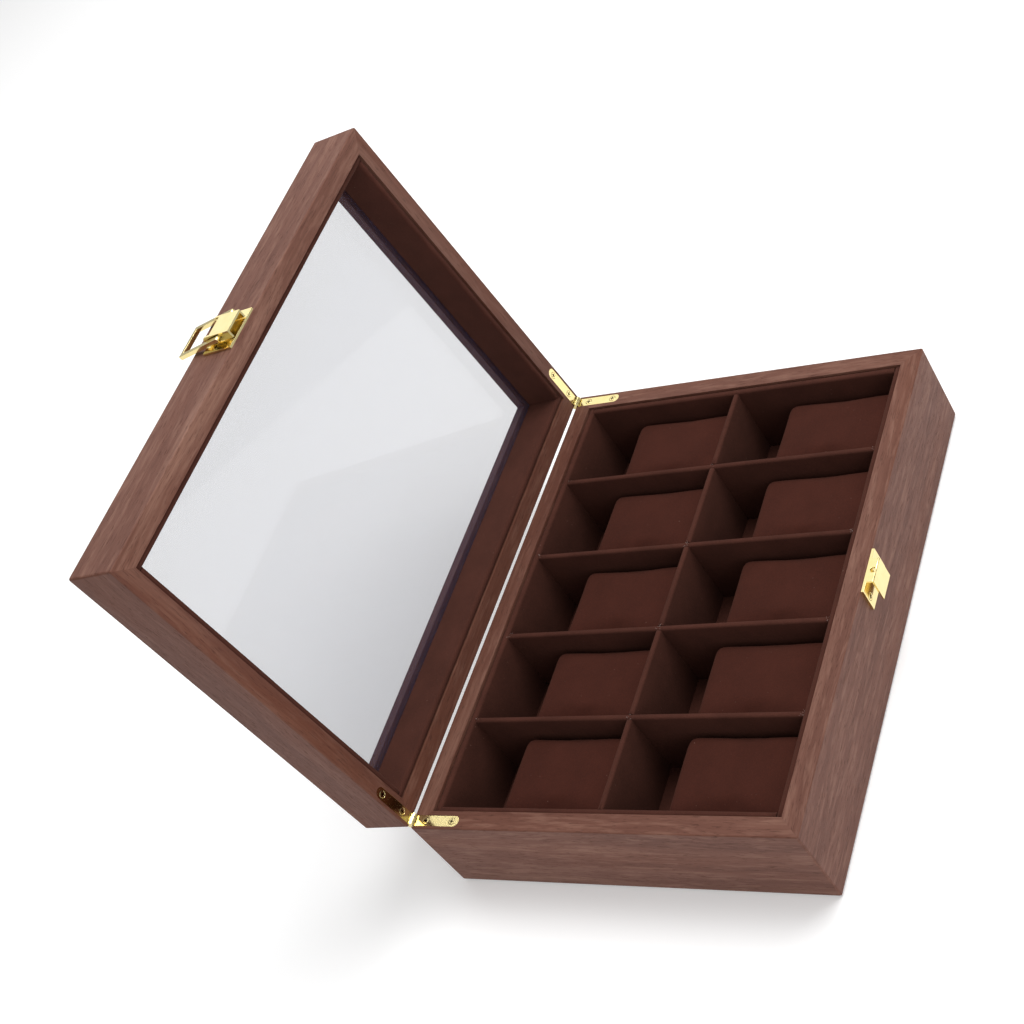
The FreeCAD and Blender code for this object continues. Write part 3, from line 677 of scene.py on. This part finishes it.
def wrapped_board(node, along, spacing, seed, material):
    """A board wrapped in suede, in place of a CAD board, sliced so that it can wander."""
    softness = settings().lining.softness
    mesh = bpy.data.meshes.new(node + "_cloth")
    work = bmesh.new()
    work.from_mesh(merged_copy(node))
    low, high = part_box(node)
    cut_along(work, along, spacing, low[along], high[along])
    work.to_mesh(mesh)
    work.free()
    wandered(mesh, softness, seed)
    smooth_shaded(mesh, sharp_degrees=40)
    return new_piece(node + "_wrapped", mesh, material, "suede", node)


# ---------------------------------------------------------------- operators

def veneer_place(start, step, number):
    """Where on the veneer a board is cut, so that no two boards match."""
    return tuple(first + stride * number for first, stride in zip(start, step))


class WATCHBOX_OT_case(bpy.types.Operator):
    """Finish the mitred walls, the bottom and the felt foot"""

    bl_idname = "watchbox.case"
    bl_label = "Case"

    def execute(self, context):
        for number, side in enumerate(WALLS):
            grain_turn = 0 if side in ("front", "back") else QUARTER_TURN
            shift = veneer_place(BASE_VENEER_START, BASE_VENEER_STEP, number)
            base_finish = walnut(f"walnut_base_{side}", (0, 0, grain_turn), shift, BASE_WARMTH,
                                 BASE_DARKENING[side])
            finished(f"base_{side}_wall", base_finish)
            shift = veneer_place(LID_VENEER_START, LID_VENEER_STEP, number)
            lid_finish = walnut(f"walnut_lid_{side}", (LID_OPENING, 0, grain_turn), shift,
                                LID_WARMTH[side], LID_DARKENING[side])
            finished(f"lid_{side}_wall", lid_finish)
        finished("bottom_panel", fibreboard())
        finished("foot_felt", felt())
        return {"FINISHED"}


class WATCHBOX_OT_lining(bpy.types.Operator):
    """Wrap the liners and the dividers in suede"""

    bl_idname = "watchbox.lining"
    bl_label = "Lining"

    def execute(self, context):
        material = suede("suede_lining", tuple(settings().lining.lining), nap_contrast=0.14, lint=0.5)
        wrapped_board("floor_liner", 0, LINER_SPACING, FLOOR_SEED, material)
        seed = 1
        for part in ("base", "lid"):
            for side in WALLS:
                along = 0 if side in ("front", "back") else (1 if part == "base" else 2)
                wrapped_board(f"{part}_{side}_liner", along, LINER_SPACING, seed, material)
                seed += 1
        wrapped_board("long_divider", 0, DIVIDER_SPACING, seed, material)
        for number in range(1, CROSSINGS + 1):
            wrapped_board(f"cross_divider_{number}", 1, DIVIDER_SPACING, seed + number, material)
        return {"FINISHED"}


class WATCHBOX_OT_frays(bpy.types.Operator):
    """Add the stray threads where the dividers cross and meet the liners"""

    bl_idname = "watchbox.frays"
    bl_label = "Frayed slits"

    def execute(self, context):
        under_top = 0.1 * MM
        from_end = 0.6 * MM
        points = []
        for number in range(1, CROSSINGS + 1):
            low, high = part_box(f"cross_divider_{number}")
            x = (low.x + high.x) / 2
            top = high.z - under_top
            points.append((x, 0.0, top))
            points.append((x, high.y - from_end, top))
            points.append((x, low.y + from_end, top))
        values = {"Thread length": 1.0 * MM, "Thread radius": 0.06 * MM, "Spread": 1.2 * MM, "Threads": 9,
                  "Seed": 4}
        material = frayed_thread()
        mesh = fray_tools(material).grown(points, values)
        piece = bpy.data.objects.new("frayed_threads", mesh)
        bpy.context.scene.collection.objects.link(piece)
        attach(piece, "case")
        return {"FINISHED"}


class WATCHBOX_OT_pillows(bpy.types.Operator):
    """Swell a pillow's cover over its filling and lay one in each slot"""

    bl_idname = "watchbox.pillows"
    bl_label = "Watch pillows"

    def execute(self, context):
        material = suede("suede_pillow", tuple(settings().lining.pillow), nap_contrast=0.1, lint=0.55)
        cover = swollen_cover("watch_pillow_1")
        low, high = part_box("watch_pillow_1")
        first_middle = (low + high) / 2
        for number in range(1, PILLOWS + 1):
            node = f"watch_pillow_{number}"
            low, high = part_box(node)
            mesh = cover.copy()
            mesh.transform(Matrix.Translation((low + high) / 2 - first_middle))
            for vertex in mesh.vertices:
                where = vertex.co * PILLOW_WANDER_SCALE + Vector((number * PILLOW_STEP, 0, 0))
                vertex.co += noise.noise_vector(where) * PILLOW_WANDER
                vertex.co = held_inside(vertex.co, low, high, PILLOW_MARGIN)
            mesh.shade_smooth()
            pillow = new_piece(f"suede_pillow_{number}", mesh, material, "pillow_suede", node)
        return {"FINISHED"}


def held_inside(point, low, high, margin):
    """A point, moved no further than it must be to lie inside a box."""
    return Vector([min(max(point[i], low[i] + margin), high[i] - margin) for i in range(3)])


def swollen_cover(node):
    """A slightly smaller copy of a pillow, its cover swollen by its filling."""
    low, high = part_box(node)
    middle = (low + high) / 2
    start = merged_copy(node)
    shrink = Matrix.Diagonal([1 - COVER_SHRINK / (high[i] - low[i]) for i in range(3)]).to_4x4()
    start.transform(Matrix.Translation(middle) @ shrink @ Matrix.Translation(-middle))
    start = with_modifier(start, "REMESH", {"mode": "VOXEL", "voxel_size": COVER_CELL})
    start = filled(start)
    subdivide = {"levels": 1, "render_levels": 1}
    return with_modifier(start, "SUBSURF", subdivide)


def filled(mesh):
    """Inflate a cover with the cloth solver and cap how far each point moves."""
    scene = bpy.context.scene
    before = [vertex.co.copy() for vertex in mesh.vertices]
    holder = bpy.data.objects.new("cover", mesh)
    scene.collection.objects.link(holder)
    cloth = holder.modifiers.new("Cloth", "CLOTH")
    cloth.settings.use_pressure = True
    cloth.settings.uniform_pressure_force = COVER_PRESSURE
    cloth.settings.effector_weights.gravity = 0
    cloth.settings.quality = 5
    cloth.point_cache.frame_start = 1
    cloth.point_cache.frame_end = COVER_FRAMES
    for number in range(1, COVER_FRAMES + 1):
        scene.frame_set(number)
    result = bpy.data.meshes.new_from_object(holder.evaluated_get(bpy.context.evaluated_depsgraph_get()))
    bpy.data.objects.remove(holder)
    scene.frame_set(1)
    limit = settings().lining.swell_limit
    for vertex, start in zip(result.vertices, before):
        move = vertex.co - start
        if move.length > limit:
            vertex.co = start + move.normalized() * limit
    return result


class WATCHBOX_OT_glass(bpy.types.Operator):
    """Glaze the lid"""

    bl_idname = "watchbox.glass"
    bl_label = "Glass"

    def execute(self, context):
        finished("glass_pane", clear_glass())
        return {"FINISHED"}


class WATCHBOX_OT_fittings(bpy.types.Operator):
    """Make the brass hinges, the latch and the strike"""

    bl_idname = "watchbox.fittings"
    bl_label = "Hinges and latch"

    def execute(self, context):
        brass = polished_brass("polished_brass", roughness=0.1)
        width = settings().fittings.easing
        nodes = ["latch_plate", "latch_lever", "latch_bail", "strike_plate", "latch_pin"]
        for node in nodes:
            eased(node, brass, "brass", width, node + "_brass")
        for side in ("left", "right"):
            for part in ("base_leaf", "lid_leaf", "pin"):
                finished(f"hinge_{side}_{part}", brass)
        return {"FINISHED"}


class WATCHBOX_OT_screws(bpy.types.Operator):
    """Drive the cross-head screws into the hinges, the latch and the strike"""

    bl_idname = "watchbox.screws"
    bl_label = "Screws"

    def execute(self, context):
        fittings = settings().fittings
        brass = polished_brass("screw_brass", roughness=0.16, sunk_shade=True)
        tools = screw_tools(brass)
        sizes = {"Head radius": fittings.head_radius, "Head depth": fittings.head_depth,
                 "Dome": fittings.dome, "Recess span": fittings.recess_span,
                 "Recess slot": fittings.recess_slot,
                 "Shank radius": fittings.shank_radius, "Shank length": fittings.shank_length}
        lid_turn = Matrix.Rotation(-LID_OPENING, 3, "X")
        upward = Vector((0, 0, 1))
        forward = Vector((0, -1, 0))
        groups = (("base_hinge_screws", upward), ("lid_hinge_screws", lid_turn @ -upward),
                  ("latch_screws", lid_turn @ forward), ("strike_screws", forward))
        for node, facing in groups:
            turn = upward.rotation_difference(facing).to_euler()
            mesh = tools.grown(head_tops(node, facing), {**sizes, "Rotation": tuple(turn)})
            smooth_shaded(mesh, sharp_degrees=35)
            new_piece(node + "_brass", mesh, brass, "screws", node)
        return {"FINISHED"}


def head_tops(node, facing):
    """The middle of each screw's head in a group, found from its solids."""
    work = bmesh.new()
    work.from_mesh(frame["nodes"][node].data)
    bmesh.ops.remove_doubles(work, verts=work.verts, dist=MERGE_DISTANCE)
    tops = []
    rim_depth = 0.02 * MM
    unseen = set(work.verts)
    while unseen:
        island = set()
        edge_of_island = [unseen.pop()]
        while edge_of_island:
            vertex = edge_of_island.pop()
            island.add(vertex)
            for edge in vertex.link_edges:
                other = edge.other_vert(vertex)
                if other in unseen:
                    unseen.discard(other)
                    edge_of_island.append(other)
        points = [vertex.co for vertex in island]
        level = max(point.dot(facing) for point in points)
        rim = [point for point in points if point.dot(facing) > level - rim_depth]
        tops.append(sum(rim, Vector()) / len(rim))
    work.free()
    return tops


def laid_rectangle(name, low, high, paint):
    """A flat painted rectangle between two corners, each given as x and y."""
    mesh = bpy.data.meshes.new(name)
    corners = [(low[0], low[1], 0), (high[0], low[1], 0), (high[0], high[1], 0), (low[0], high[1], 0)]
    mesh.from_pydata(corners, [], [(0, 1, 2, 3)])
    mesh.materials.append(paint.material)
    sheet = bpy.data.objects.new(name, mesh)
    bpy.context.scene.collection.objects.link(sheet)
    return sheet


def square_lamp(name, place, size, power):
    """A square lamp that faces the box."""
    data = bpy.data.lights.new(name, "AREA")
    data.shape = "SQUARE"
    data.size = size
    data.energy = power
    lamp = bpy.data.objects.new(name, data)
    bpy.context.scene.collection.objects.link(lamp)
    lamp.location = place
    lamp.rotation_euler = (Vector(LAMP_AIM) - lamp.location).to_track_quat("-Z", "Y").to_euler()
    return lamp


def placed_camera(stage):
    """The camera, aimed and rolled as the settings say."""
    data = bpy.data.cameras.new("camera")
    data.sensor_width = SENSOR_WIDTH
    data.lens = stage.lens
    data.shift_x = CAMERA_SHIFT_X
    data.shift_y = CAMERA_SHIFT_Y
    data.clip_start = NEAR_CLIP
    camera = bpy.data.objects.new("camera", data)
    bpy.context.scene.collection.objects.link(camera)
    eye = Vector(stage.eye)
    sight = Vector(stage.aim) - eye
    level = sight.to_track_quat("-Z", "Y").to_matrix()
    rolled = (level @ Matrix.Rotation(stage.roll, 3, "Z")).to_4x4()
    camera.matrix_world = Matrix.Translation(eye) @ rolled
    return camera


class WATCHBOX_OT_stage(bpy.types.Operator):
    """Set the floor, the light and the camera"""

    bl_idname = "watchbox.stage"
    bl_label = "Stage"

    def execute(self, context):
        stage = settings().stage
        scene = context.scene
        scene.view_settings.view_transform = "Standard"
        world = bpy.data.worlds.new("studio")
        world.use_nodes = True
        sky = world.node_tree.nodes["Background"]
        sky.inputs["Color"].default_value = WHITE
        sky.inputs["Strength"].default_value = stage.sky
        scene.world = world

        floor_paint = Shader("floor_paint", {"Base Color": (*stage.floor, 1), "Roughness": 0.8,
                                             "Emission Color": WHITE, "Emission Strength": FLOOR_GLOW})
        floor = laid_rectangle("floor", (-FLOOR_REACH, -FLOOR_REACH), (FLOOR_REACH, FLOOR_REACH),
                               floor_paint)
        lamps = [square_lamp(*lamp) for lamp in LAMPS]

        card_paint = Shader("grey_card_paint", {"Base Color": CARD_GREY, "Roughness": 0.9})
        card = laid_rectangle("grey_card", (0, 0), (CARD_WIDTH, CARD_DEPTH), card_paint)
        card.location = CARD_CORNER
        card.rotation_euler = (0, 0, CARD_TURN)

        camera = placed_camera(stage)
        scene.camera = camera
        return {"FINISHED"}


class WATCHBOX_PT_panel(bpy.types.Panel):
    """Lists the box's pieces in the order they are made"""

    bl_idname = "WATCHBOX_PT_panel"
    bl_label = "Watch box"
    bl_space_type = "VIEW_3D"
    bl_region_type = "UI"
    bl_category = "Watch box"

    def draw(self, context):
        for operator in OPERATORS:
            self.layout.operator(operator.bl_idname)
        for group in (settings().wood, settings().lining, settings().fittings, settings().stage):
            box = self.layout.box()
            for name in group.__annotations__:
                box.prop(group, name)


OPERATORS = (
    WATCHBOX_OT_case,
    WATCHBOX_OT_lining,
    WATCHBOX_OT_frays,
    WATCHBOX_OT_pillows,
    WATCHBOX_OT_glass,
    WATCHBOX_OT_fittings,
    WATCHBOX_OT_screws,
    WATCHBOX_OT_stage,
)
GROUPS = (WoodSettings, LiningSettings, FittingSettings, StageSettings, WatchBoxSettings)


def register():
    for kind in GROUPS + OPERATORS + (WATCHBOX_PT_panel,):
        bpy.utils.register_class(kind)
    bpy.types.Scene.watch_box = bpy.props.PointerProperty(type=WatchBoxSettings)


def unregister():
    del bpy.types.Scene.watch_box
    for kind in reversed(GROUPS + OPERATORS + (WATCHBOX_PT_panel,)):
        bpy.utils.unregister_class(kind)


def main():
    register()
    bpy.ops.watchbox.case()
    bpy.ops.watchbox.lining()
    bpy.ops.watchbox.frays()
    bpy.ops.watchbox.pillows()
    bpy.ops.watchbox.glass()
    bpy.ops.watchbox.fittings()
    bpy.ops.watchbox.screws()
    bpy.ops.watchbox.stage()
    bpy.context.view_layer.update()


if __name__ == "__main__":
    main()
